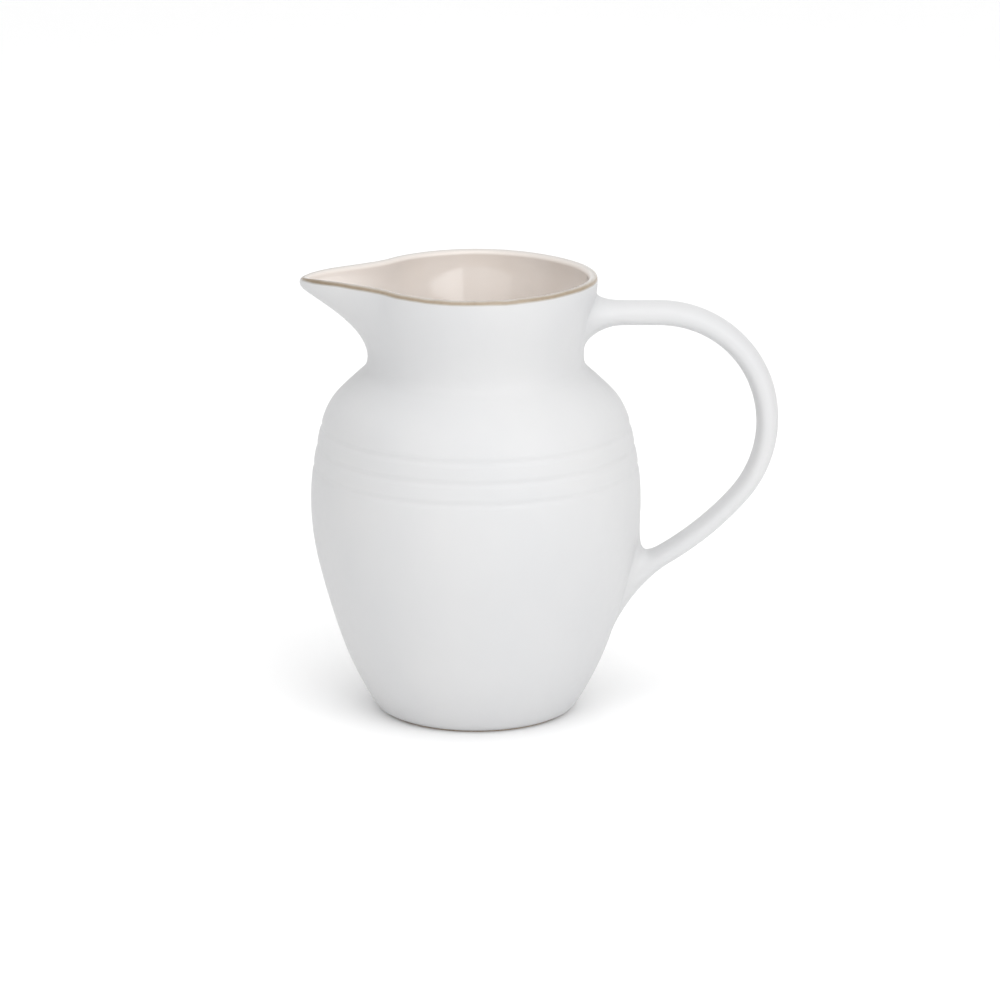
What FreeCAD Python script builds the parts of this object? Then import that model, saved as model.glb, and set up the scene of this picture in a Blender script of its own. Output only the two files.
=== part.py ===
"""A stoneware pitcher: a round glazed jug with a pulled spout and a strap handle.

The origin is the middle of the foot, on the surface the jug stands on. +Z is up, the spout points along -X
and the handle along +X. Lengths are millimetres.
"""

import FreeCAD, Part
import math
import os

from Sketcher import Constraint

V = FreeCAD.Vector

SIZES = {
    "rim_height": 206.5,  # from the table to the top of the lip
    "lip_thickness": 4.2,  # clay and both coats of glaze together, the same all over the jug
    "glaze_thickness": 0.4,
    "belly_radius": 76.6,
    "neck_radius": 49.9,
    "neck_height": 168.5,  # where the neck is narrowest
    "mouth_radius": 56.1,
    "mouth_draw": 1.5,  # how far the mouth is drawn in halfway between spout, sides and handle
    "spout_reach": 24.8,  # how far the spout's tip stands out past the round of the mouth
    "spout_half_angle": 35.0,
    "tip_rounding": 5.5,  # degrees either side of the tip that its nose is rounded over
    "ring_radius": 43.4,  # outer radius of the bare ring the jug stands on
    "ring_width": 7.0,
    "ring_standing": 0.8,  # how far the ring stands below the glaze
    "ring_edge": 0.3,
    "floor_height": 7.0,
    "floor_bend": 13.0,  # the height over which the floor turns up into the wall
    "groove_depth": 0.4,
    "groove_width": 3.0,
    "groove_pitch": 9.3,
    "lowest_groove": 116.8,
    "handle_top": 188.4,  # the level stretch of the handle's middle line
    "handle_root": 50.5,  # where the handle starts, inside the wall of the neck
    "crown_start": 84.4,  # where the handle starts to curve down
    "crown_radius": 50.3,
    "crown_angle": 72.0,
    "back_radius": 54.0,  # the far side of the handle opens out a little below the crown
    "back_angle": 59.0,
    "return_radius": 142.0,  # and runs almost straight back in to the belly
    "return_angle": 27.5,
    "strap_width": 19.0,
    "strap_thickness": 10.7,
    "tail_width": 17.5,  # the strap narrows from the crown to its lower root
    "tail_thickness": 8.6,
}

# The jug's outline from the foot to the neck: (share of the belly radius, share of the neck height).
JUG_OUTLINE = (
    (0.575, 0.005),
    (0.603, 0.011),
    (0.629, 0.026),
    (0.656, 0.046),
    (0.690, 0.074),
    (0.768, 0.147),
    (0.859, 0.263),
    (0.934, 0.3825),
    (0.982, 0.4846),
    (1.000, 0.5917),
    (0.990, 0.674),
    (0.956, 0.765),
    (0.920, 0.8286),
    (0.873, 0.8712),
    (0.798, 0.9088),
    (0.714, 0.9445),
    (0.664, 0.9703),
    (0.6514, 1.000),
)
FOOT_WAY = V(0.94, 0, 0.34)  # the way the outline leaves the ring
LEVEL_STEP = 6.0  # between level circles, along the outline
LEVELS_PER_RING = 4
FLOOR_CORNER = ((0.0, 0.74), (0.12, 0.85), (0.4, 0.94), (0.75, 0.985))  # (rise, reach) of the round edge

MOUTH_LEVELS = (0.0, 0.05, 0.2, 0.36, 0.52, 0.67, 0.8, 0.9, 0.96, 1.0)
SPOUT_POWER = 2.4  # how sharply the spout's flanks draw in to its tip
KEEL_GAIN = 1.3  # the keel under the spout climbs as a square and rounds over below the lip
KEEL_ROUNDING = 8.67
# The handle's arcs from the top, each with how far the strap has tapered where it starts and ends.
HANDLE_ARCS = (("crown", 0.0, 0.0), ("back", 0.0, 1.0), ("return", 1.0, 1.0))
SECTIONS_PER_ARC = 4
# The collars of joining clay as ovals, from inside the wall outwards: (out, up, wider, thicker, lean).
UPPER_COLLAR = (
    (49.5, 185.8, 7.0, 7.6, 0.0),
    (54.5, 187.6, 4.0, 4.4, 0.0),
    (60.0, 187.9, 1.2, 1.6, 0.0),
    (68.5, 188.4, -0.1, -0.1, 0.0),
)
LOWER_COLLAR = (
    (65.0, 60.5, 7.5, 11.7, -10.0),
    (74.5, 66.2, 3.8, 7.6, 10.0),
    (84.5, 70.5, 1.0, 1.0, 28.0),
    (97.5, 79.5, -0.1, -0.1, 35.8),
)
POINTS_ROUND = 40
POINT_DRAW = 0.72  # how strongly the points round a level curve draw together at the spout
TINY = 1e-4


def make_sheet(doc):
    """Put every driving dimension in a cell with a name."""
    sheet = doc.addObject("Spreadsheet::Sheet", "sizes")
    for row, (name, size) in enumerate(SIZES.items(), start=1):
        sheet.set(f"A{row}", name)
        sheet.set(f"B{row}", str(size))
        sheet.setAlias(f"B{row}", name)
    doc.recompute()
    return sheet


def mouth_radius(angle, height, sheet):
    """The glazed surface's distance from the axis above the neck. Angle 0 is the spout's tip."""
    lip = sheet.rim_height - sheet.lip_thickness / 2
    share = max((height - sheet.neck_height) / (lip - sheet.neck_height), 0.0)
    flare = share**2 * (3 - 2 * share)
    round_part = sheet.neck_radius + (sheet.mouth_radius - sheet.neck_radius) * flare
    round_part -= sheet.mouth_draw * (share * math.sin(2 * angle)) ** 2
    keel = KEEL_GAIN * share**2 - (KEEL_GAIN - 1) * share**KEEL_ROUNDING
    nose = math.radians(sheet.tip_rounding)
    away = math.sqrt(angle**2 + nose**2) - nose
    across = max(1 - away / math.radians(sheet.spout_half_angle), 0.0) ** SPOUT_POWER
    return round_part + sheet.spout_reach * keel * across


def layer_radius(angle, height, depth, sheet):
    """The same for a layer that lies depth below the glazed surface, measured square to it."""
    here = mouth_radius(angle, height, sheet)
    ahead = mouth_radius(angle + TINY, height, sheet)
    behind = mouth_radius(angle - TINY, height, sheet)
    turned = (ahead - behind) / (2 * TINY)
    top = min(height + TINY, sheet.rim_height - sheet.lip_thickness / 2)
    bottom = max(height - TINY, sheet.neck_height)
    raised = (mouth_radius(angle, top, sheet) - mouth_radius(angle, bottom, sheet)) / (top - bottom)
    return here - depth * math.sqrt(1 + (turned / here) ** 2 + raised**2)


def level_curve(height, radius_at):
    """One closed level curve round the jug, its points drawn closer where the spout's tip is."""
    points = []
    angles = []
    for step in range(POINTS_ROUND + 1):
        turn = 2 * math.pi * step / POINTS_ROUND
        angle = turn - POINT_DRAW * math.sin(turn)
        radius = radius_at(min(angle, 2 * math.pi - angle))
        points.append(V(-radius * math.cos(angle), -radius * math.sin(angle), height))
        angles.append(angle)
    curve = Part.BSplineCurve()
    curve.interpolate(Points=points[:-1], Parameters=angles, PeriodicFlag=True)
    return Part.Wire(curve.toShape())


def mouth_section(height, depth, sheet):
    """The level curve of a layer of the mouth, spout and all."""
    return level_curve(height, lambda angle: layer_radius(angle, height, depth, sheet))


def outline_curve(sheet):
    """The glazed outline below the neck, as one smooth curve in the XZ plane."""
    points = [V(across * sheet.belly_radius, 0, up * sheet.neck_height) for across, up in JUG_OUTLINE]
    points[-1] = V(sheet.neck_radius, 0, sheet.neck_height)
    lengths = [0.0]
    for start, end in zip(points, points[1:]):
        lengths.append(lengths[-1] + (end - start).Length)
    curve = Part.BSplineCurve()
    curve.interpolate(
        Points=points, Parameters=lengths, InitialTangent=FOOT_WAY, FinalTangent=V(0, 0, 1), Scale=False
    )
    return curve


def groove_at(height, sheet):
    """How deep the three soft rings round the belly are at this height."""
    depth = 0.0
    for ring in range(3):
        middle = sheet.lowest_groove + ring * sheet.groove_pitch
        depth += math.exp(-(((height - middle) / (sheet.groove_width / 2)) ** 2))
    return sheet.groove_depth * depth


def level_parameters(curve, sheet):
    """Where the level circles cross the outline: evenly along it, but four to each of the soft rings."""
    rings_start = sheet.lowest_groove - sheet.groove_pitch / 2
    rings_end = rings_start + 3 * sheet.groove_pitch
    parameters = []
    parameter = curve.FirstParameter
    while parameter < curve.LastParameter - LEVEL_STEP / 2:
        height = curve.value(parameter).z
        if height < rings_start - LEVEL_STEP / 2 or height > rings_end + LEVEL_STEP / 2:
            parameters.append(parameter)
        parameter = curve.parameterAtDistance(LEVEL_STEP, parameter)
    for step in range(3 * LEVELS_PER_RING + 1):
        height = rings_start + step * sheet.groove_pitch / LEVELS_PER_RING
        low, high = curve.FirstParameter, curve.LastParameter
        while high - low > TINY:
            middle = (low + high) / 2
            low, high = (middle, high) if curve.value(middle).z < height else (low, middle)
        parameters.append(low)
    return sorted(parameters)


def round_levels(depth, sheet, inside):
    """(height, radius) of the level circles from the foot to just under the neck."""
    curve = outline_curve(sheet)
    levels = []
    for parameter in level_parameters(curve, sheet):
        point = curve.value(parameter)
        way = curve.tangent(parameter)[0]
        radius = point.x - depth / way.z
        if not inside:
            radius -= groove_at(point.z, sheet)
        levels.append((point.z, radius))
    if not inside:
        return levels
    floor = sheet.floor_height + depth - sheet.lip_thickness
    bend = sheet.floor_height + sheet.floor_bend
    wall = [level for level in levels if level[0] > bend]
    reach = wall[0][1]
    corner = [(floor + (bend - floor) * rise, reach * out) for rise, out in FLOOR_CORNER]
    return corner + wall


def jug_solid(depth, sheet, inside):
    """The jug filled solid up to the lip, depth below its glazed surface, or the space inside it."""
    sections = []
    for height, radius in round_levels(depth, sheet, inside):
        sections.append(level_curve(height, lambda angle, radius=radius: radius))
    rise = sheet.rim_height - sheet.lip_thickness / 2 - sheet.neck_height
    for share in MOUTH_LEVELS:
        height = sheet.neck_height + rise * share
        sections.append(mouth_section(height, depth, sheet))
    return Part.makeLoft(sections, True, False)


def split_faces(solid):
    """A filled jug's faces: its side, its flat bottom and its flat top."""
    side = max(solid.Faces, key=lambda face: face.BoundBox.ZLength)
    flat = [face for face in solid.Faces if not face.isSame(side)]
    flat.sort(key=lambda face: face.BoundBox.ZMin)
    return side, flat[0], flat[1]


def flat_ring(outer_face, inner_face):
    """The flat face between two closed edges in one plane."""
    return Part.makeFace([outer_face.OuterWire, inner_face.OuterWire], "Part::FaceMakerBullseye")


def add_layer(doc, name, outer, inner, closed_below):
    """What lies between two nested jugs: a wall with a floor, or a coat that is open below."""
    outer_side, outer_bottom, outer_top = split_faces(outer)
    inner_side, inner_bottom, inner_top = split_faces(inner)
    faces = [outer_side, inner_side, flat_ring(outer_top, inner_top)]
    if closed_below:
        faces += [outer_bottom, inner_bottom]
    else:
        faces.append(flat_ring(outer_bottom, inner_bottom))
    shape = Part.Solid(Part.Shell(faces))
    shape.fix(TINY, TINY, TINY)
    layer = doc.addObject("Part::Feature", name)
    layer.Shape = shape
    return layer


def add_solid(doc, name, shape):
    """A plain shape as an object that later cuts can use."""
    item = doc.addObject("Part::Feature", name)
    item.Shape = shape
    return item


def cut(doc, name, base, tools):
    """Take all the tools away from the base at once."""
    group = doc.addObject("Part::Compound", f"{name}_tools")
    group.Links = tools
    left = doc.addObject("Part::Cut", name)
    left.Base = base
    left.Tool = group
    return left


def make_foot_ring(doc):
    """The bare clay ring the jug stands on, turned from a small section with broken edges."""
    body = doc.addObject("PartDesign::Body", "foot_ring")
    plane = next(item for item in body.Origin.OriginFeatures if item.Role == "XZ_Plane")
    sketch = body.newObject("Sketcher::SketchObject", "foot_ring_section")
    sketch.AttachmentSupport = [(plane, "")]
    sketch.MapMode = "FlatFace"
    corners = [V(36, 0, 0), V(43, 0, 0), V(43, 1, 0), V(36, 1, 0)]
    for start, end in zip(corners, corners[1:] + corners[:1]):
        sketch.addGeometry(Part.LineSegment(start, end), False)
    for side in range(4):
        sketch.addConstraint(Constraint("Coincident", side, 2, (side + 1) % 4, 1))
    for side in (0, 2):
        sketch.addConstraint(Constraint("Horizontal", side))
    for side in (1, 3):
        sketch.addConstraint(Constraint("Vertical", side))
    sketch.addConstraint(Constraint("PointOnObject", 0, 1, -1))
    named = (
        ("outer_radius", Constraint("DistanceX", -1, 1, 0, 2, 43.0), "sizes.ring_radius"),
        ("width", Constraint("DistanceX", 0, 1, 0, 2, 7.0), "sizes.ring_width"),
        ("standing", Constraint("DistanceY", 1, 1, 1, 2, 1.0), "sizes.ring_standing"),
    )
    for name, constraint, cell in named:
        index = sketch.addConstraint(constraint)
        sketch.renameConstraint(index, name)
        sketch.setExpression(f"Constraints.{name}", cell)
    doc.recompute()
    ring = body.newObject("PartDesign::Revolution", "foot_ring_turned")
    ring.Profile = sketch
    ring.ReferenceAxis = (sketch, ["V_Axis"])
    ring.Angle = 360
    doc.recompute()
    edge = body.newObject("PartDesign::Fillet", "foot_ring_edges")
    numbered = enumerate(ring.Shape.Edges, start=1)
    edge.Base = (ring, [f"Edge{number}" for number, item in numbered if item.BoundBox.ZMax < TINY])
    edge.setExpression("Radius", "sizes.ring_edge")
    body.Tip = edge
    doc.recompute()
    return body


def make_rim_band(doc, sheet):
    """The rounded lip: a half-round bead swept along the middle of the wall's top."""
    half = sheet.lip_thickness / 2
    level = sheet.rim_height - half
    spine = doc.addObject("Part::Feature", "lip_line")
    spine.Shape = mouth_section(level, half, sheet)
    start = spine.Shape.Vertexes[0].Point
    section = doc.addObject("Part::Feature", "lip_section")
    inner = V(start.x + half, start.y, level)
    outer = V(start.x - half, start.y, level)
    crown = V(start.x, start.y, level + half)
    half_round = Part.Arc(inner, crown, outer).toShape()
    section.Shape = Part.Wire([half_round, Part.LineSegment(outer, inner).toShape()])
    band = doc.addObject("Part::Sweep", "rim_band")
    band.Sections = [section]
    band.Spine = (spine, ["Edge1"])
    band.Solid = True
    band.Frenet = False
    return band


def strap_stations(sheet):
    """Where the strap's sections stand on its middle line, from its root: (how far tapered, middle, lean).

    The line runs level out of the neck, round the crown, down the far side and back in to the belly.
    """
    root = V(sheet.handle_root, 0, sheet.handle_top)
    place = V(sheet.crown_start, 0, sheet.handle_top)
    stations = [(0.0, root, 0.0), (0.0, (root + place) * 0.5, 0.0), (0.0, place, 0.0)]
    lean = 0.0
    for name, taper_from, taper_to in HANDLE_ARCS:
        radius = sheet.getPropertyByName(f"{name}_radius")
        sweep = sheet.getPropertyByName(f"{name}_angle")
        centre = place - handle_side(lean) * radius
        for step in range(1, SECTIONS_PER_ARC + 1):
            share = step / SECTIONS_PER_ARC
            turned = lean - sweep * share
            place = centre + handle_side(turned) * radius
            stations.append((taper_from + (taper_to - taper_from) * share, place, turned))
        lean -= sweep
    return stations


def handle_side(lean):
    """The way the strap's outer side faces where its section leans by this many degrees."""
    turn = math.radians(lean)
    return V(-math.sin(turn), 0, math.cos(turn))


def add_ellipse(doc, name, width, thickness, middle, lean):
    """An oval across the handle, its half width along Y, leaning back by lean degrees."""
    oval = doc.addObject("Part::Ellipse", name)
    oval.setExpression("MajorRadius", width)
    oval.setExpression("MinorRadius", thickness)
    across = FreeCAD.Rotation(V(0, 1, 0), V(0, 0, 1), V(1, 0, 0), "XYZ")
    tilt = FreeCAD.Rotation(V(0, 1, 0), -lean)
    oval.Placement = FreeCAD.Placement(middle, tilt.multiply(across))
    return oval


def make_strap(doc, name, coat, sheet):
    """The handle's strap, a loft of ovals along its middle line, coat below the glazed surface."""
    ovals = []
    for number, (taper, middle, lean) in enumerate(strap_stations(sheet), start=1):
        narrower = f"{taper} * (sizes.tail_width - sizes.strap_width)"
        width = f"(sizes.strap_width + {narrower}) / 2 - {coat}"
        thinner = f"{taper} * (sizes.tail_thickness - sizes.strap_thickness)"
        thickness = f"(sizes.strap_thickness + {thinner}) / 2 - {coat}"
        ovals.append(add_ellipse(doc, f"{name}_oval_{number}", width, thickness, middle, lean))
    return add_loft(doc, name, ovals)


def add_loft(doc, name, ovals):
    """One smooth solid through the ovals."""
    loft = doc.addObject("Part::Loft", name)
    loft.Sections = ovals
    loft.Solid = True
    loft.Ruled = False
    return loft


def make_collar(doc, name, stations):
    """Joining clay smoothed round one end of the handle: a loft of ovals that shrink on to the strap."""
    ovals = []
    for number, (out, up, wide, thick, lean) in enumerate(stations, start=1):
        oval = add_ellipse(doc, f"{name}_oval_{number}", str(wide), str(thick), V(out, 0, up), lean)
        ovals.append(oval)
    return add_loft(doc, name, ovals)


def collar_stations(sheet, collar, size):
    """Each oval's (out, up, half width, half thickness, lean), from what it adds to the strap's section."""
    stations = []
    width = sheet.getPropertyByName(f"{size}_width")
    thickness = sheet.getPropertyByName(f"{size}_thickness")
    for out, up, wider, thicker, lean in collar:
        half_width = width / 2 + wider
        half_thickness = thickness / 2 + thicker
        stations.append((out, up, half_width, half_thickness, lean))
    return stations


def check_shapes(doc, parts):
    """Stop before anything is written if an object failed or a shape is not one sound solid."""
    for item in doc.Objects:
        if "Invalid" in item.State or "Error" in item.State:
            raise RuntimeError(f"{item.Name} failed: {item.State}")
    for part in parts:
        shape = part.Shape
        if shape.isNull() or not shape.isValid() or len(shape.Solids) != 1:
            raise RuntimeError(f"{part.Label} is not one sound solid: {len(shape.Solids)} solids")
        print(f"{part.Label}: {shape.Volume / 1000:.2f} cm3, box {shape.BoundBox}")


def main():
    doc = FreeCAD.newDocument("pitcher")
    sheet = make_sheet(doc)
    glaze = sheet.glaze_thickness
    jug = jug_solid(0.0, sheet, inside=False)
    clay = jug_solid(glaze, sheet, inside=False)
    hollow = jug_solid(sheet.lip_thickness - glaze, sheet, inside=True)
    space = jug_solid(sheet.lip_thickness, sheet, inside=True)
    strap = make_strap(doc, "strap_glazed", "0", sheet)
    strap_clay = make_strap(doc, "strap_clay", "sizes.glaze_thickness", sheet)
    upper = make_collar(doc, "upper_collar", collar_stations(sheet, UPPER_COLLAR, "strap"))
    lower = make_collar(doc, "lower_collar", collar_stations(sheet, LOWER_COLLAR, "tail"))
    clay_block = add_solid(doc, "clay_block", clay)
    jug_block = add_solid(doc, "jug_block", jug)
    coat = add_layer(doc, "whole_exterior_glaze", jug, clay, closed_below=False)
    sleeve = cut(doc, "glazed_strap_between", strap, [jug_block, upper, lower])
    parts = [
        add_layer(doc, "stoneware_wall", clay, hollow, closed_below=True),
        cut(doc, "exterior_glaze", coat, [strap_clay, upper, lower]),
        add_layer(doc, "interior_glaze", hollow, space, closed_below=True),
        make_rim_band(doc, sheet),
        make_foot_ring(doc),
        cut(doc, "handle", strap_clay, [clay_block]),
        cut(doc, "handle_glaze", sleeve, [strap_clay]),
        cut(doc, "upper_handle_joint", upper, [strap_clay, clay_block]),
        cut(doc, "lower_handle_joint", lower, [strap_clay, clay_block]),
    ]
    doc.recompute()
    check_shapes(doc, parts)
    os.makedirs("parts", exist_ok=True)
    for part in parts:
        part.Shape.exportStep(os.path.join("parts", f"{part.Label}.step"))


main()
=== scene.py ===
"""The looks of the stoneware pitcher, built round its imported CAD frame.

Metres, +Z up, the spout on -X and the handle on +X. Angle 0 round the jug is the spout's tip.
"""

import math

import bpy
import numpy as np
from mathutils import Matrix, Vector


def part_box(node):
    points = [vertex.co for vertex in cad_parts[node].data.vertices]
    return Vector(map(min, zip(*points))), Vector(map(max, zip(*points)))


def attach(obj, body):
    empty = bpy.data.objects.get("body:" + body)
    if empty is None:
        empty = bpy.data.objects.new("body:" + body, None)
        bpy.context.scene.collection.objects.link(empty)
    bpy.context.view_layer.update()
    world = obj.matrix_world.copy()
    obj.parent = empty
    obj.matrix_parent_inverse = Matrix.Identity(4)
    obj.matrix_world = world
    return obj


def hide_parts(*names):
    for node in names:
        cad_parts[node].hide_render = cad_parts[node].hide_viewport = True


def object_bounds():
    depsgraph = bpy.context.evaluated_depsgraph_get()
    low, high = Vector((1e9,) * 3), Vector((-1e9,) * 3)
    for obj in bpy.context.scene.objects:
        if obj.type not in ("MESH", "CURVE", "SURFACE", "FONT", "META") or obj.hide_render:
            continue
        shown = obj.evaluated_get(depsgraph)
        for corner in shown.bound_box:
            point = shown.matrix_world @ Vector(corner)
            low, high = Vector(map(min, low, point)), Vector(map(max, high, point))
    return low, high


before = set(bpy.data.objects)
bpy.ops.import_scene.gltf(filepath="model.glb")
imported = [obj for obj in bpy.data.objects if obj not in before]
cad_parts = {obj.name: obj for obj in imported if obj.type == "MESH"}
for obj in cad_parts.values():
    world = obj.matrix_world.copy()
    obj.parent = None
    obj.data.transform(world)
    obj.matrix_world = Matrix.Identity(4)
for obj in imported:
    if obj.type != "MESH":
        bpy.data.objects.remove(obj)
cad_low, cad_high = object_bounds()

MM = 0.001

# Driving sizes: read from the boxes of the CAD frame, or the CAD's own numbers where no box gives them.
lip_low, lip_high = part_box("rim_band")
wall_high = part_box("exterior_glaze")[1]
ring_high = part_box("foot_ring")[1]
strap_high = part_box("handle_glaze")[1]
LIP_TOP = lip_high.z
LIP_LEVEL = lip_low.z  # where the straight wall ends and the round of the lip begins
WALL = 2 * (LIP_TOP - LIP_LEVEL)
MOUTH_RADIUS = lip_high.y
BELLY_RADIUS = wall_high.y
NECK_SHARE = 0.6514  # the neck's radius as a share of the belly's
NECK_LEVEL = 0.816  # the neck's height as a share of the jug's
NECK_RADIUS = NECK_SHARE * BELLY_RADIUS
NECK_HEIGHT = NECK_LEVEL * LIP_TOP
SPOUT_TIP = -cad_low.x
SPOUT_REACH = SPOUT_TIP - MOUTH_RADIUS
GLAZE = 0.4 * MM
RING_RADIUS = ring_high.x
RING_WIDTH = 7 * MM
RING_TOP = ring_high.z
FLOOR_HEIGHT = 7 * MM
FLOOR_BEND = 20 * MM  # the height at which the floor has turned up into the wall
FLOOR_ROUNDING = 0.3  # a guess: the share of the inside's radius that the floor's round edge takes

# The jug's outline from the foot to the neck: (share of the belly radius, share of the neck height).
JUG_OUTLINE = (
    (0.575, 0.005),
    (0.603, 0.011),
    (0.629, 0.026),
    (0.656, 0.046),
    (0.690, 0.074),
    (0.768, 0.147),
    (0.859, 0.263),
    (0.934, 0.3825),
    (0.982, 0.4846),
    (1.000, 0.5917),
    (0.990, 0.674),
    (0.956, 0.765),
    (0.920, 0.8286),
    (0.873, 0.8712),
    (0.798, 0.9088),
    (0.714, 0.9445),
    (0.664, 0.9703),
    (NECK_SHARE, 1.000),
)
FOOT_WAY = (0.94, 0.34)  # the way the outline leaves the foot
RINGS = (116.8 * MM, 126.1 * MM, 135.4 * MM)  # heights of the three soft grooves
RING_DEPTH = 0.5 * MM
RING_HALF_WIDTH = 1.4 * MM

# The underside: the glaze's lower edge, the bare base and the turned ring.
GLAZE_ROLL = 0.25 * MM
ROLL_DROP = 0.3 * MM  # how far the glaze's rolled edge hangs below the foot of the wall
BASE_DISH = 0.5 * MM
BASE_SHARES = (0.02, 0.35, 0.7, 0.88, 0.94)  # where the base's levels are, from the middle to its rim
FOOT_EDGE = 0.5 * MM
RING_TUCKS = (0.2 * MM, 0.4 * MM)  # how far the ring runs up into the clay, inside and outside

# The spout: a nose pulled out of the round mouth, pinched in either side where it starts.
SPOUT_HALF_ANGLE = math.radians(35)
NOSE_ANGLE = math.radians(5.5)  # how broadly the tip is rounded
SPOUT_POWER = 2.4  # how sharply the spout narrows towards its tip
KEEL_GAIN = 1.3  # how far the spout leans out below the lip
KEEL_ROUNDING = 8.67  # how late it straightens up towards the lip
PINCH_ANGLE = math.radians(37)
PINCH_SPREAD = math.radians(8)
PINCH_DEPTH = 0.7 * MM
TIP_DROOP = 1.5 * MM  # the spout's tip hangs a little below the rest of the lip
DROOP_LENGTH = 16 * MM
MOUTH_DRAW = 1.5 * MM  # how far the mouth is drawn in halfway between spout, sides and handle
LIP_CREST = 0.24  # how far the lip's highest line stands out from the middle of the wall

# The handle: an oval strap along a level run and three arcs.
STRAP_WIDTH = 19.0 * MM
STRAP_THICKNESS = 10.7 * MM
TAIL_WIDTH = 17.5 * MM
TAIL_THICKNESS = 8.6 * MM
STRAP_SQUARENESS = 2.3  # 2 is an ellipse
HANDLE_LEVEL = strap_high.z - STRAP_THICKNESS / 2
CROWN_START = 84.4 * MM
HANDLE_ARCS = (  # radius, angle turned through, how far the strap has tapered at the end
    (50.3 * MM, math.radians(72), 0.0),
    (54.0 * MM, math.radians(59), 1.0),
    (142.0 * MM, math.radians(27.5), 1.0),
)
# Where the strap ends and the smoothed roots begin, as shares of its length.
UPPER_END = 0.08
LOWER_END = 0.89
ROOT_SINK = 0.8 * MM  # how deep a root's last ring lies in the wall
# The roots: where each lands on the wall, how far it reaches up from that level (down if negative) on the
# strap's outer and inner side, and how tightly it follows the strap there before it spreads.
UPPER_ROOT = {
    "level": HANDLE_LEVEL + 0.1 * MM,
    "half_width": 17 * MM,
    "outer_reach": 9.8 * MM,
    "inner_reach": -16.5 * MM,
    "tightness": 0.5,
    "outer_tightening": 0.1,
    "inner_tightening": 0.0,
}
LOWER_ROOT = {
    "level": 62 * MM,
    "half_width": 14 * MM,
    "outer_reach": -28 * MM,
    "inner_reach": 33 * MM,
    "tightness": 0.62,
    "outer_tightening": -0.07,
    "inner_tightening": 0.1,
}

# How finely the pieces are meshed.
ANGLES = 288
POINT_DRAW = 0.66  # how strongly the points round the jug draw together at the spout
LEVEL_STEP = 1.7 * MM
FINE_STEP = 0.6 * MM
OUTLINE_STEPS = 1200
RINGS_MARGIN = 2.5  # half widths of a ring that are meshed finely above and below the rings
FOOT_FADE = 3 * MM  # how soon the levels spread out above the foot
CORNER_LEVELS = 14
CENTRE_LEVELS = 18
CENTRE_RADIUS = 0.4 * MM  # the radius of the floor's innermost points
LIP_LEVELS = 19
BACK_LEVELS = 40
CLAY_LEVELS = 70
EDGE_LEVELS = 6
STRAP_POINTS = 64
STRAP_LEVELS = 150
ROOT_LEVELS = 22
WALL_PASSES = 5  # rounds of finding the wall at a given y
CORNER_PASSES = 12  # rounds of following the strap's way to the wall


def level_angles(count):
    """Angles round the jug, closer together at the spout's tip."""
    turn = 2 * np.pi * np.arange(count) / count
    return turn - POINT_DRAW * np.sin(turn)


def smooth_curve(points, first_way, last_way, steps):
    """Evenly spaced points on a smooth curve through the given ones, its end directions set."""
    points = np.array(points)
    spans = np.linalg.norm(np.diff(points, axis=0), axis=1)
    knots = np.concatenate([[0.0], np.cumsum(spans)])
    size = len(points)
    system = np.eye(size)
    wanted = np.zeros_like(points)
    wanted[0] = np.array(first_way) / np.linalg.norm(first_way)
    wanted[-1] = np.array(last_way) / np.linalg.norm(last_way)
    for index in range(1, size - 1):
        before, after = spans[index - 1], spans[index]
        system[index, index - 1] = after
        system[index, index] = 2 * (before + after)
        system[index, index + 1] = before
        slope_before = (points[index] - points[index - 1]) / before
        slope_after = (points[index + 1] - points[index]) / after
        wanted[index] = 3 * (after * slope_before + before * slope_after)
    ways = np.linalg.solve(system, wanted)
    places = np.linspace(0, knots[-1], steps)
    span = np.clip(np.searchsorted(knots, places, side="right") - 1, 0, size - 2)
    width = spans[span][:, None]
    share = (places - knots[span])[:, None] / width
    start = (1 + 2 * share) * (1 - share) ** 2
    end = share**2 * (3 - 2 * share)
    leave = share * (1 - share) ** 2 * width
    arrive = share**2 * (share - 1) * width
    return start * points[span] + end * points[span + 1] + leave * ways[span] + arrive * ways[span + 1]


def groove_depth(height):
    """How deep the soft rings round the belly are at a height."""
    depth = np.zeros_like(height)
    for middle in RINGS:
        depth += np.exp(-(((height - middle) / RING_HALF_WIDTH) ** 2))
    return RING_DEPTH * depth


def spaced_outline():
    """(radius, height) along the jug below the neck, closer together at the foot and at the soft rings."""
    points = [(across * BELLY_RADIUS, up * NECK_HEIGHT) for across, up in JUG_OUTLINE]
    fine = smooth_curve(points, FOOT_WAY, (0, 1), OUTLINE_STEPS)
    length = np.concatenate([[0.0], np.cumsum(np.linalg.norm(np.diff(fine, axis=0), axis=1))])
    middle = (RINGS[0] + RINGS[-1]) / 2
    reach = (RINGS[-1] - RINGS[0]) / 2 + RINGS_MARGIN * RING_HALF_WIDTH
    near_rings = 1 / (1 + np.exp((abs(fine[:, 1] - middle) - reach) / MM))
    near_foot = np.exp(-fine[:, 1] / FOOT_FADE)
    density = 1 / LEVEL_STEP + (1 / FINE_STEP - 1 / LEVEL_STEP) * np.maximum(near_rings, near_foot)
    count = np.concatenate([[0.0], np.cumsum(density[1:] * np.diff(length))])
    places = np.linspace(0, count[-1], int(count[-1]) + 1)
    return np.stack([np.interp(places, count, fine[:, side]) for side in (0, 1)], axis=1)


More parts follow.
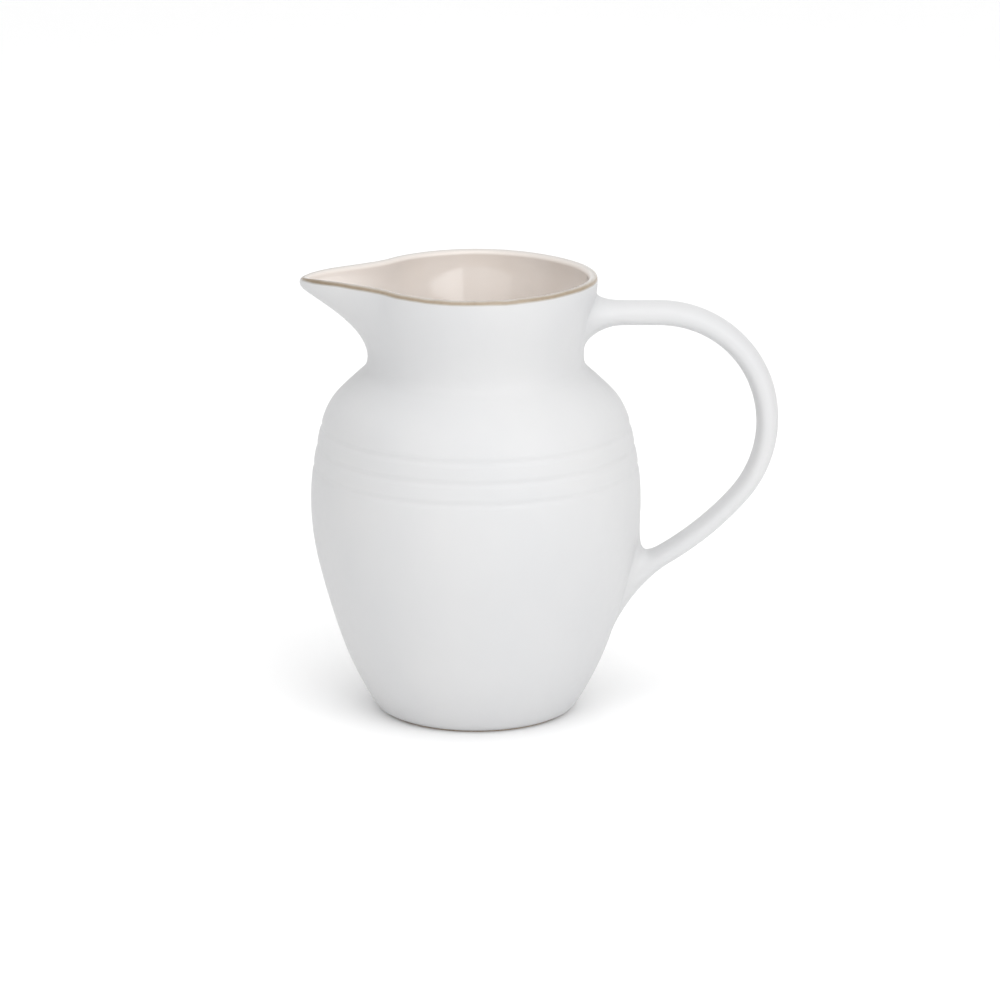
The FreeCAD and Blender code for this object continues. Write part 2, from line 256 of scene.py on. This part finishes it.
def mouth_radius(angle, height):
    """The glazed surface's distance from the axis above the neck."""
    share = np.clip((height - NECK_HEIGHT) / (LIP_LEVEL - NECK_HEIGHT), 0, 1)
    flare = share**2 * (3 - 2 * share)
    keel = KEEL_GAIN * share**2 - (KEEL_GAIN - 1) * share**KEEL_ROUNDING
    turned = np.abs((angle + np.pi) % (2 * np.pi) - np.pi)
    away = np.sqrt(turned**2 + NOSE_ANGLE**2) - NOSE_ANGLE
    across = np.clip(1 - away / SPOUT_HALF_ANGLE, 0, 1) ** SPOUT_POWER
    pinch = PINCH_DEPTH * keel * np.exp(-(((turned - PINCH_ANGLE) / PINCH_SPREAD) ** 2))
    drawn = MOUTH_DRAW * (share * np.sin(2 * turned)) ** 2
    return NECK_RADIUS + (MOUTH_RADIUS - NECK_RADIUS) * flare + SPOUT_REACH * keel * across - pinch - drawn


def inset(radius, angles, heights, depth):
    """The radius of a layer that lies depth below a surface given as radius[level, angle]."""
    turned = np.gradient(np.concatenate([radius[:, -1:], radius, radius[:, :1]], axis=1), axis=1)[:, 1:-1]
    steps = np.gradient(np.concatenate([[angles[-1] - 2 * np.pi], angles, [angles[0] + 2 * np.pi]]))[1:-1]
    raised = np.gradient(radius, heights, axis=0)
    return radius - depth * np.sqrt(1 + (turned / steps / radius) ** 2 + raised**2)


def wall_radii(angles, depth, with_rings):
    """Heights and radius[level, angle] of a layer of the jug from the foot to the lip."""
    outline = spaced_outline()
    heights_below = outline[:-1, 1]
    below = np.repeat(outline[:-1, :1], len(angles), axis=1)
    if with_rings:
        below = below - groove_depth(heights_below)[:, None]
    steps = int((LIP_LEVEL - NECK_HEIGHT) / LEVEL_STEP) + 2
    heights_above = np.linspace(NECK_HEIGHT, LIP_LEVEL, steps)
    above = mouth_radius(angles[None, :], heights_above[:, None])
    heights = np.concatenate([heights_below, heights_above])
    radius = np.concatenate([below, above])
    if depth:
        radius = inset(radius, angles, heights, depth)
    return heights, radius


def ring_points(radius, height, angles):
    """Points[level, angle] from radii and heights of that shape, the spout's tip drooping a little."""
    radius, height = np.broadcast_arrays(radius, height)
    x = -radius * np.cos(angles)
    out = np.clip((-x - SPOUT_TIP + DROOP_LENGTH) / DROOP_LENGTH, 0, 1)
    up = np.clip((height - NECK_HEIGHT) / (LIP_LEVEL - NECK_HEIGHT), 0, 1)
    return np.stack([x, -radius * np.sin(angles), height - TIP_DROOP * (out * up) ** 2], axis=2)


def outer_wall(angles, depth=0.0, with_rings=True):
    """The outside of the jug, from the foot up."""
    heights, radius = wall_radii(angles, depth, with_rings)
    return ring_points(radius, heights[:, None], angles)


def glaze_roll(angles):
    """The glaze's rounded lower edge, curling in under the wall to the foot ring."""
    start = JUG_OUTLINE[0][0] * BELLY_RADIUS
    level = JUG_OUTLINE[0][1] * NECK_HEIGHT
    turn = np.radians([-90, -60, -30])[:, None]
    radius = start - 2 * GLAZE_ROLL + GLAZE_ROLL * np.cos(turn) * 2
    height = level + GLAZE_ROLL * (1 + np.sin(turn)) - ROLL_DROP
    return ring_points(radius + np.zeros_like(angles), height + np.zeros_like(angles), angles)


def inner_wall(angles, depth):
    """The inside of the jug from the lip down to the middle of the floor, depth below the outer glaze."""
    heights, radius = wall_radii(angles, depth, with_rings=False)
    high = heights > FLOOR_BEND
    heights, radius = heights[high][::-1], radius[high][::-1]
    floor = FLOOR_HEIGHT + depth - WALL
    turn = np.linspace(0, np.pi / 2, CORNER_LEVELS)[1:]
    reach = radius[-1].mean()
    rounding = FLOOR_ROUNDING * reach
    corner_radius = reach - rounding * (1 - np.cos(turn))
    corner_height = heights[-1] - (heights[-1] - floor) * np.sin(turn)
    centre = np.linspace(corner_radius[-1], CENTRE_RADIUS, CENTRE_LEVELS)[1:]
    low_radius = np.concatenate([corner_radius, centre])[:, None] + np.zeros_like(angles)
    low_height = np.concatenate([corner_height, np.full(len(centre), floor)])[:, None]
    wall = ring_points(radius, heights[:, None], angles)
    return np.concatenate([wall, ring_points(low_radius, low_height, angles)])


def lip_round(outside, inside):
    """The rounded top of the wall, tight on the outside and broad on the inside, ends left out."""
    turn = np.linspace(0, np.pi, LIP_LEVELS)[1:-1][:, None, None]
    middle = (outside + inside) / 2
    side = (outside - inside) / 2
    across = LIP_CREST + np.where(np.cos(turn) > 0, 1 - LIP_CREST, 1 + LIP_CREST) * np.cos(turn)
    lift = np.array([0, 0, WALL / 2])
    return middle + side * across + lift * np.sin(turn)


def grid_normals(points):
    """Normals of points[level, angle], joined round, on the side that mesh_piece turns its faces to."""
    along = np.gradient(points, axis=0)
    wrapped = np.concatenate([points[:, -1:], points, points[:, :1]], axis=1)
    around = np.gradient(wrapped, axis=1)[:, 1:-1]
    normals = np.cross(around, along)
    return normals / np.linalg.norm(normals, axis=2, keepdims=True)


def mesh_piece(name, points, normals=None, closed=False, cap_start=False, cap_end=False):
    """A smooth mesh from points[level, angle], joined round and, if closed, from last level to first."""
    levels, count = points.shape[:2]
    faces = []
    for level in range(levels if closed else levels - 1):
        here, after = level * count, (level + 1) % levels * count
        for step in range(count):
            beside = (step + 1) % count
            faces.append((here + step, here + beside, after + beside, after + step))
    if cap_start:
        faces.append(tuple(reversed(range(count))))
    if cap_end:
        faces.append(tuple(range((levels - 1) * count, levels * count)))
    mesh = bpy.data.meshes.new(name)
    mesh.from_pydata(points.reshape(-1, 3).tolist(), [], faces)
    mesh.shade_smooth()
    if normals is not None:
        mesh.normals_split_custom_set_from_vertices(normals.reshape(-1, 3).tolist())
    piece = bpy.data.objects.new(name, mesh)
    bpy.context.scene.collection.objects.link(piece)
    return piece


def spread_levels(points, count):
    """A coarser choice of the levels, first and last kept."""
    chosen = np.unique(np.linspace(0, len(points) - 1, count).round().astype(int))
    return points[chosen]


def place(piece, node, material):
    """Let a piece stand for a CAD node and give it its finish."""
    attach(piece, "root")
    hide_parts(node)
    piece.data.materials.append(material)


def make_jug(white, cream, rim):
    """The jug's glaze: outside, lip and inside, cut from one continuous surface so that no seam shows."""
    angles = level_angles(ANGLES)
    outside = outer_wall(angles)
    inside = inner_wall(angles, WALL)
    lip = lip_round(outside[-1], inside[0])
    whole = np.concatenate([outside, lip, inside])
    normals = grid_normals(whole)
    top = len(outside)
    low = top + len(lip)
    behind = spread_levels(outer_wall(angles, depth=GLAZE), BACK_LEVELS)[::-1]
    roll = glaze_roll(angles)
    coat = np.concatenate([roll, outside, behind])
    roll_normals = grid_normals(np.concatenate([roll, outside[:2]]))[:-2]
    coat_normals = np.concatenate([roll_normals, normals[:top], grid_normals(behind)])
    exterior = mesh_piece("exterior_glaze_coat", coat, coat_normals, closed=True)
    place(exterior, "exterior_glaze", white)
    bead = mesh_piece("lip_bead", whole[top - 1 : low + 1], normals[top - 1 : low + 1], closed=True)
    over_lip = np.repeat(np.linspace(0, 1, len(lip) + 2), ANGLES)
    bead.data.attributes.new("over_lip", "FLOAT", "POINT").data.foreach_set("value", over_lip)
    place(bead, "rim_band", rim)
    back = spread_levels(inner_wall(angles, WALL - GLAZE), BACK_LEVELS)[::-1]
    liner = np.concatenate([inside, back])
    liner_normals = np.concatenate([normals[low:], grid_normals(back)])
    interior = mesh_piece("interior_glaze_coat", liner, liner_normals, closed=True)
    place(interior, "interior_glaze", cream)


def make_clay_wall(clay):
    """The stoneware under the glaze, closed below by the base inside the foot ring."""
    angles = level_angles(ANGLES // 2)
    outside = spread_levels(outer_wall(angles, depth=GLAZE), CLAY_LEVELS)
    inside = spread_levels(inner_wall(angles, WALL - GLAZE), CLAY_LEVELS)
    rim = outside[0, :, :2]
    shares = np.array(BASE_SHARES)[:, None, None]
    dish = BASE_DISH * (1 - shares**2)
    base_height = outside[0, 0, 2] + dish + np.zeros((1, len(angles), 1))
    base = np.concatenate([rim[None] * shares, base_height], axis=2)
    wall = mesh_piece("clay_wall", np.concatenate([base, outside, inside]), cap_start=True, cap_end=True)
    place(wall, "stoneware_wall", clay)


def make_foot(clay):
    """The turned ring the jug stands on, its edges broken round."""
    angles = level_angles(ANGLES)
    inner_tuck, outer_tuck = RING_TUCKS
    inner = RING_RADIUS - RING_WIDTH
    inner_middle, outer_middle = inner + FOOT_EDGE, RING_RADIUS - FOOT_EDGE
    inner_edge = []
    outer_edge = []
    for turn in np.linspace(0, np.pi / 2, EDGE_LEVELS):
        along, over = FOOT_EDGE * math.sin(turn), FOOT_EDGE * math.cos(turn)
        inner_edge.append((inner_middle - over, FOOT_EDGE - along))
        outer_edge.append((outer_middle + along, FOOT_EDGE - over))
    section = [(inner, RING_TOP + inner_tuck)] + inner_edge + outer_edge
    section += [(RING_RADIUS, RING_TOP), (outer_middle, RING_TOP + outer_tuck)]
    section = np.array(section)
    points = ring_points(section[:, :1] + np.zeros_like(angles), section[:, 1:], angles)
    foot = mesh_piece("turned_foot", points, closed=True)
    place(foot, "foot_ring", clay)


def strap_side(turned):
    """The way the strap's outer side faces, as (x, z), once the handle has turned by an angle."""
    return np.array([math.sin(turned), math.cos(turned)])


def strap_line(share):
    """The handle's middle line at a share of its length: (x, z), angle turned, how far it has tapered."""
    level = CROWN_START - NECK_RADIUS
    travel = share * (level + sum(radius * angle for radius, angle, _ in HANDLE_ARCS))
    middle = np.array([NECK_RADIUS + min(travel, level), HANDLE_LEVEL])
    travel -= level
    turned = taper = 0.0
    for radius, angle, taper_at_end in HANDLE_ARCS:
        if travel <= 0:
            break
        part = min(travel / radius, angle)
        middle = middle + radius * (strap_side(turned + part) - strap_side(turned))
        turned += part
        taper += (taper_at_end - taper) * part / angle
        travel -= radius * angle
    return middle, turned, taper


def strap_section(share, around):
    """The strap's section and the way the handle runs: angle 0 is on +Y, 90 degrees on the outer side."""
    middle, turned, taper = strap_line(share)
    out = strap_side(turned)
    across = np.sign(np.cos(around)) * np.abs(np.cos(around)) ** (2 / STRAP_SQUARENESS)
    up = np.sign(np.sin(around)) * np.abs(np.sin(around)) ** (2 / STRAP_SQUARENESS)
    side = across * (STRAP_WIDTH + taper * (TAIL_WIDTH - STRAP_WIDTH)) / 2
    rise = up * (STRAP_THICKNESS + taper * (TAIL_THICKNESS - STRAP_THICKNESS)) / 2
    points = np.stack([middle[0] + out[0] * rise, side, middle[1] + out[1] * rise], axis=1)
    return points, np.array([out[1], 0.0, -out[0]])


def wall_radius(turned, height):
    """The glazed surface's distance from the axis at an angle from the handle."""
    outline = spaced_outline()
    below = np.interp(height, outline[:, 1], outline[:, 0])
    return np.where(height < NECK_HEIGHT, below, mouth_radius(np.pi - turned, height))


def wall_at(side, height):
    """Where the jug's glazed surface is on the handle's side, at y = side, and its normal there."""
    x = np.full_like(side, NECK_RADIUS)
    for _ in range(WALL_PASSES):
        turned = np.arctan2(side, x)
        x = np.sqrt(wall_radius(turned, height) ** 2 - side**2)
    slope = (wall_radius(turned, height + MM) - wall_radius(turned, height - MM)) / (2 * MM)
    point = np.stack([x, side, height], axis=-1)
    normal = np.stack([np.cos(turned), np.sin(turned), -slope], axis=-1)
    return point, normal / np.linalg.norm(normal, axis=-1, keepdims=True)


def root_rings(section, way, foot_line, tightness):
    """Rings that sweep from the strap's section on to the wall, and the normals where they land."""
    corner = section.copy()
    for _ in range(CORNER_PASSES):
        wall, normal = wall_at(corner[:, 1], corner[:, 2])
        gap = np.sum((wall - corner) * normal, axis=1) / np.sum(way * normal, axis=1)
        corner = corner + gap[:, None] * way
    landing, normal = wall_at(foot_line[:, 0], foot_line[:, 1])
    towards = corner - landing
    towards = towards - normal * np.sum(towards * normal, axis=1)[:, None]
    from_strap = section + (corner - section) * tightness[:, None]
    from_wall = landing + towards * tightness[:, None]
    rings = []
    for share in np.linspace(0, 1, ROOT_LEVELS):
        rings.append(
            (1 - share) ** 3 * section
            + 3 * share * (1 - share) ** 2 * from_strap
            + 3 * share**2 * (1 - share) * from_wall
            + share**3 * landing
        )
    return np.array(rings), normal


def make_root(section, way, around, root):
    """One root's rings from the strap's end on to the wall, and the normals where they land."""
    outer = np.clip(np.sin(around), 0, 1)
    inner = np.clip(-np.sin(around), 0, 1)
    heights = root["level"] + root["outer_reach"] * outer + root["inner_reach"] * inner
    foot_line = np.stack([root["half_width"] * np.cos(around), heights], axis=1)
    tightness = root["tightness"] + root["outer_tightening"] * outer + root["inner_tightening"] * inner
    return root_rings(section, way, foot_line, tightness)


def make_handle(white):
    """The strap and the clay smoothed round its two roots, as one surface cut into three pieces."""
    around = 2 * np.pi * np.arange(STRAP_POINTS) / STRAP_POINTS
    shares = np.linspace(UPPER_END, LOWER_END, STRAP_LEVELS)
    sections = [strap_section(share, around) for share in shares]
    strap = np.array([points for points, _ in sections])
    upper, upper_normal = make_root(strap[0], -sections[0][1], around, UPPER_ROOT)
    lower, lower_normal = make_root(strap[-1], sections[-1][1], around, LOWER_ROOT)
    whole = np.concatenate([upper[:0:-1], strap, lower[1:]])
    normals = grid_normals(whole)
    normals[0] = upper_normal
    normals[-1] = lower_normal
    sink_upper = (whole[0] - upper_normal * ROOT_SINK)[None]
    sink_lower = (whole[-1] - lower_normal * ROOT_SINK)[None]
    first, last = len(upper) - 1, len(upper) - 1 + len(strap)
    landed = first + 1
    pieces = (
        ("upper_root_coat", "upper_handle_joint", whole[:landed], normals[:landed], sink_upper, None),
        ("strap_coat", "handle_glaze", whole[first:last], normals[first:last], None, None),
        ("lower_root_coat", "lower_handle_joint", whole[last - 1 :], normals[last - 1 :], None, sink_lower),
    )
    for name, node, points, directions, before, after in pieces:
        if before is not None:
            points = np.concatenate([before, points])
            directions = np.concatenate([directions[:1], directions])
        if after is not None:
            points = np.concatenate([points, after])
            directions = np.concatenate([directions, directions[-1:]])
        piece = mesh_piece(name, points, directions, cap_start=True, cap_end=True)
        place(piece, node, white)


class Nodes:
    """A material's node tree with short ways to add and join nodes."""

    def __init__(self, name):
        self.material = bpy.data.materials.new(name)
        self.material.use_nodes = True
        self.tree = self.material.node_tree
        self.shader = self.tree.nodes["Principled BSDF"]
        self.position = self.add("ShaderNodeTexCoord").outputs["Object"]

    def add(self, kind, **settings):
        node = self.tree.nodes.new(kind)
        for name, value in settings.items():
            setattr(node, name, value)
        return node

    def join(self, source, target):
        self.tree.links.new(source, target)

    def noise(self, scale, detail, stretch=(1, 1, 1)):
        """Noise in the object's own space, scale in bumps per metre, stretched along each axis."""
        mapping = self.add("ShaderNodeMapping")
        mapping.inputs["Scale"].default_value = stretch
        self.join(self.position, mapping.inputs["Vector"])
        noise = self.add("ShaderNodeTexNoise")
        noise.inputs["Scale"].default_value = scale
        noise.inputs["Detail"].default_value = detail
        self.join(mapping.outputs["Vector"], noise.inputs["Vector"])
        return noise.outputs["Fac"]

    def spread(self, value, limits, wanted=(0.0, 1.0)):
        """Map a value from one range to another, clamped."""
        node = self.add("ShaderNodeMapRange")
        node.inputs["From Min"].default_value, node.inputs["From Max"].default_value = limits
        node.inputs["To Min"].default_value, node.inputs["To Max"].default_value = wanted
        self.join(value, node.inputs["Value"])
        return node.outputs["Result"]

    def math(self, operation, first, second=None):
        node = self.add("ShaderNodeMath", operation=operation)
        for slot, value in enumerate((first, second)):
            if value is None:
                continue
            if isinstance(value, (int, float)):
                node.inputs[slot].default_value = value
            else:
                self.join(value, node.inputs[slot])
        return node.outputs[0]

    def mix(self, share, first, second):
        """Blend two colours, each a triple or another node's output."""
        node = self.add("ShaderNodeMix", data_type="RGBA")
        self.join(share, node.inputs["Factor"])
        for socket, colour in ((node.inputs["A"], first), (node.inputs["B"], second)):
            if isinstance(colour, tuple):
                socket.default_value = (*colour, 1.0)
            else:
                self.join(colour, socket)
        return node.outputs["Result"]

    def place_along(self, axis):
        """Where the surface is along an axis, in metres."""
        split = self.add("ShaderNodeSeparateXYZ")
        self.join(self.position, split.inputs["Vector"])
        return split.outputs[axis]

    def colour(self, source):
        self.join(source, self.shader.inputs["Base Color"])

    def roughness(self, source):
        self.join(source, self.shader.inputs["Roughness"])

    def bump(self, source, distance):
        """Raise the surface by source, distance in metres from 0 to 1."""
        node = self.add("ShaderNodeBump")
        node.inputs["Distance"].default_value = distance
        node.inputs["Strength"].default_value = 1.0
        self.join(source, node.inputs["Height"])
        self.join(node.outputs["Normal"], self.shader.inputs["Normal"])


# Colours, and the roughness each finish ranges over.
WHITE = (0.606, 0.606, 0.609)
COOL_WHITE = (0.586, 0.589, 0.596)
BROWN = (0.36, 0.295, 0.22)
DARK_BROWN = (0.22, 0.17, 0.115)
PALE_RIM = (0.52, 0.495, 0.47)
CREAM = (0.77, 0.71, 0.665)
WARM_CREAM = (0.745, 0.675, 0.62)
CLAY = (0.47, 0.36, 0.25)
DARK_CLAY = (0.36, 0.26, 0.175)
SPECK = (0.12, 0.08, 0.05)
PALE_FLOOR = (0.97, 0.97, 0.97)
SHADED_FLOOR = (0.96, 0.96, 0.96)
SATIN_ROUGHNESS = (0.44, 0.54)
LIP_ROUGHNESS = (0.14, 0.2)
GLOSSY_ROUGHNESS = (0.07, 0.13)
CLAY_ROUGHNESS = (0.78, 0.92)

# The ranges that most of a noise falls in: a wide one, and a narrow one for more contrast.
WIDE = (0.3, 0.7)
NARROW = (0.35, 0.65)

# The band where the glaze breaks to brown.
BROWN_BELOW_LIP = 1.05 * MM  # how far the band's middle is below the lip's top
BROWN_FADE = (1.4 * MM, 0.35 * MM)  # how far from its middle the band has ended, and is still full
BROWN_WAVER = (-0.25 * MM, 0.25 * MM)
SPOUT_DARKENING = (-0.8 * MOUTH_RADIUS, -1.3 * MOUTH_RADIUS)  # where along X it darkens to the spout


def brown_share(nodes):
    """How much the glaze breaks to brown: a soft, slightly wavering band just below the top of the lip."""
    waver = nodes.spread(nodes.noise(scale=60, detail=2), WIDE, BROWN_WAVER)
    level = nodes.math("SUBTRACT", nodes.place_along("Z"), waver)
    away = nodes.math("ABSOLUTE", nodes.math("SUBTRACT", level, LIP_TOP - BROWN_BELOW_LIP))
    return nodes.spread(away, BROWN_FADE)


def white_glaze():
    """Satin white glaze: faintly cloudy, with the soft unevenness that a poured glaze dries to."""
    nodes = Nodes("satin_white_glaze")
    cloud = nodes.spread(nodes.noise(scale=18, detail=3, stretch=(1, 1, 0.6)), NARROW)
    plain = nodes.mix(cloud, WHITE, COOL_WHITE)
    nodes.colour(nodes.mix(brown_share(nodes), plain, BROWN))
    nodes.roughness(nodes.spread(nodes.noise(scale=240, detail=4), WIDE, SATIN_ROUGHNESS))
    nodes.shader.inputs["Specular IOR Level"].default_value = 0.42
    waves_to_skin = 2.5
    waves = nodes.math("MULTIPLY", nodes.noise(scale=42, detail=2, stretch=(1, 1, 2)), waves_to_skin)
    skin = nodes.math("ADD", nodes.noise(scale=320, detail=3), waves)
    nodes.bump(skin, distance=0.035 * MM)
    return nodes.material


def rim_glaze():
    """The lip's thin glaze: brown where it breaks on the outer edge, darkest at the spout, cream inside."""
    nodes = Nodes("breaking_rim_glaze")
    mottle = nodes.spread(nodes.noise(scale=420, detail=3), WIDE, (0.0, 0.35))
    at_spout = nodes.spread(nodes.place_along("X"), SPOUT_DARKENING, (0.0, 0.65))
    brown = nodes.mix(nodes.math("ADD", mottle, at_spout), BROWN, DARK_BROWN)
    over = nodes.add("ShaderNodeAttribute", attribute_name="over_lip").outputs["Fac"]
    onto_lip, into_mouth, past_crest = (0.1, 0.4), (0.55, 0.9), (0.45, 0.6)
    plain = nodes.mix(nodes.spread(over, onto_lip), WHITE, PALE_RIM)
    plain = nodes.mix(nodes.spread(over, into_mouth), plain, CREAM)
    outside = nodes.spread(over, past_crest, (1.0, 0.0))
    nodes.colour(nodes.mix(nodes.math("MULTIPLY", brown_share(nodes), outside), plain, brown))
    nodes.roughness(nodes.spread(nodes.noise(scale=90, detail=2), WIDE, LIP_ROUGHNESS))
    nodes.bump(nodes.noise(scale=120, detail=2), distance=0.02 * MM)
    return nodes.material


def cream_glaze():
    """Glossy cream glaze over the faint level bands that throwing leaves."""
    nodes = Nodes("glossy_cream_glaze")
    cloud = nodes.spread(nodes.noise(scale=25, detail=3), NARROW)
    nodes.colour(nodes.mix(cloud, CREAM, WARM_CREAM))
    nodes.roughness(nodes.spread(nodes.noise(scale=90, detail=2), WIDE, GLOSSY_ROUGHNESS))
    nodes.shader.inputs["Coat Weight"].default_value = 0.5
    nodes.shader.inputs["Coat Roughness"].default_value = 0.05
    nodes.bump(nodes.noise(scale=30, detail=2, stretch=(1, 1, 6)), distance=0.06 * MM)
    return nodes.material


def bare_clay():
    """Unglazed stoneware: tan, grainy and matte, with darker specks."""
    nodes = Nodes("bare_stoneware_clay")
    grain = nodes.spread(nodes.noise(scale=900, detail=6), NARROW)
    tone = nodes.mix(grain, CLAY, DARK_CLAY)
    peaks_only = (0.68, 0.74)
    speck = nodes.spread(nodes.noise(scale=2600, detail=2), peaks_only, (0.0, 0.8))
    nodes.colour(nodes.mix(speck, tone, SPECK))
    nodes.roughness(nodes.spread(grain, (0.0, 1.0), CLAY_ROUGHNESS))
    nodes.bump(nodes.noise(scale=1500, detail=5), distance=0.12 * MM)
    return nodes.material


def floor_material():
    """Matte near-white, very slightly uneven."""
    nodes = Nodes("pale_floor")
    nodes.colour(nodes.mix(nodes.noise(scale=3, detail=2), PALE_FLOOR, SHADED_FLOOR))
    nodes.shader.inputs["Roughness"].default_value = 0.9
    nodes.shader.inputs["Specular IOR Level"].default_value = 0.1
    return nodes.material


def make_floor():
    """A wide pale sheet that curves up into a backdrop a long way behind the jug."""
    half_width, front, bend, radius, top = 6.0, -5.0, 3.5, 2.0, 5.0
    bend_steps = 12
    line = [(front, 0.0), (bend, 0.0)]
    for step in range(1, bend_steps + 1):
        turn = step / bend_steps * math.pi / 2
        line.append((bend + radius * math.sin(turn), radius * (1 - math.cos(turn))))
    line.append((bend + radius, top))
    points = []
    for y, z in line:
        points += [(-half_width, y, z), (half_width, y, z)]
    faces = [(2 * i, 2 * i + 1, 2 * i + 3, 2 * i + 2) for i in range(len(line) - 1)]
    mesh = bpy.data.meshes.new("studio_floor")
    mesh.from_pydata(points, [], faces)
    mesh.shade_smooth()
    floor = bpy.data.objects.new("studio_floor", mesh)
    bpy.context.scene.collection.objects.link(floor)
    floor.data.materials.append(floor_material())


# The studio, and the camera's long lens.
AIM_HEIGHT = 0.12
SIDE_RANGE = (0.55, 1.0)  # how far sideways the white all round starts to dim and is dimmest
WHITE_STRENGTHS = (1.08, 0.3)
CAMERA_LIFT = math.radians(15.3)
CAMERA_DISTANCE = 2.3243
CAMERA_ASIDE = 18.3 * MM  # how far the view's middle is from the middle of the jug's length
CAMERA_BELOW = 4.15 * MM  # and from the middle of its height


def softbox(name, azimuth, elevation, distance, size, power):
    """A rectangular light facing the jug, its azimuth in degrees from the camera's side towards +X."""
    turn, lift = math.radians(azimuth), math.radians(elevation)
    aim = Vector((0, 0, AIM_HEIGHT))
    way = Vector((math.sin(turn) * math.cos(lift), -math.cos(turn) * math.cos(lift), math.sin(lift)))
    data = bpy.data.lights.new(name, "AREA")
    data.shape = "RECTANGLE"
    data.size, data.size_y = size
    data.energy = power
    light = bpy.data.objects.new(name, data)
    light.location = aim + way * distance
    light.rotation_euler = way.to_track_quat("Z", "Y").to_euler()
    bpy.context.scene.collection.objects.link(light)


def make_lights():
    """Soft studio light: boxes right, left and above, and white all round, dimmer at the sides."""
    softbox("key_softbox", azimuth=38, elevation=24, distance=2.2, size=(1.8, 1.7), power=13)
    softbox("front_softbox", azimuth=-22, elevation=26, distance=2.4, size=(1.6, 1.5), power=2)
    softbox("top_softbox", azimuth=10, elevation=70, distance=2.2, size=(1.6, 1.6), power=11)
    world = bpy.data.worlds.new("studio_white")
    bpy.context.scene.world = world
    world.use_nodes = True
    tree = world.node_tree
    way = tree.nodes.new("ShaderNodeTexCoord").outputs["Generated"]
    split = tree.nodes.new("ShaderNodeSeparateXYZ")
    tree.links.new(way, split.inputs["Vector"])
    sideways = tree.nodes.new("ShaderNodeMath")
    sideways.operation = "ABSOLUTE"
    tree.links.new(split.outputs["X"], sideways.inputs[0])
    fall = tree.nodes.new("ShaderNodeMapRange")
    fall.inputs["From Min"].default_value, fall.inputs["From Max"].default_value = SIDE_RANGE
    fall.inputs["To Min"].default_value, fall.inputs["To Max"].default_value = WHITE_STRENGTHS
    tree.links.new(sideways.outputs[0], fall.inputs["Value"])
    tree.links.new(fall.outputs["Result"], tree.nodes["Background"].inputs["Strength"])
    tree.nodes["Background"].inputs["Color"].default_value = (1.0, 1.0, 1.0, 1.0)


def make_camera():
    """A long lens a little above the jug, looking along +Y."""
    data = bpy.data.cameras.new("studio_camera")
    data.sensor_width = 36
    data.lens = 180
    data.clip_end = 50
    camera = bpy.data.objects.new("studio_camera", data)
    middle = Vector(((cad_low.x + cad_high.x) / 2 - CAMERA_ASIDE, 0, LIP_TOP / 2 - CAMERA_BELOW))
    way = Vector((0, -math.cos(CAMERA_LIFT), math.sin(CAMERA_LIFT)))
    camera.location = middle + way * CAMERA_DISTANCE
    camera.rotation_euler = (math.pi / 2 - CAMERA_LIFT, 0, 0)
    bpy.context.scene.collection.objects.link(camera)
    bpy.context.scene.camera = camera


def main():
    bpy.context.scene.view_settings.view_transform = "Standard"
    white, cream, rim, clay = white_glaze(), cream_glaze(), rim_glaze(), bare_clay()
    make_jug(white, cream, rim)
    make_clay_wall(clay)
    make_foot(clay)
    make_handle(white)
    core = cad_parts["handle"]
    core.data.materials.clear()
    core.data.materials.append(clay)
    make_floor()
    make_lights()
    make_camera()


main()
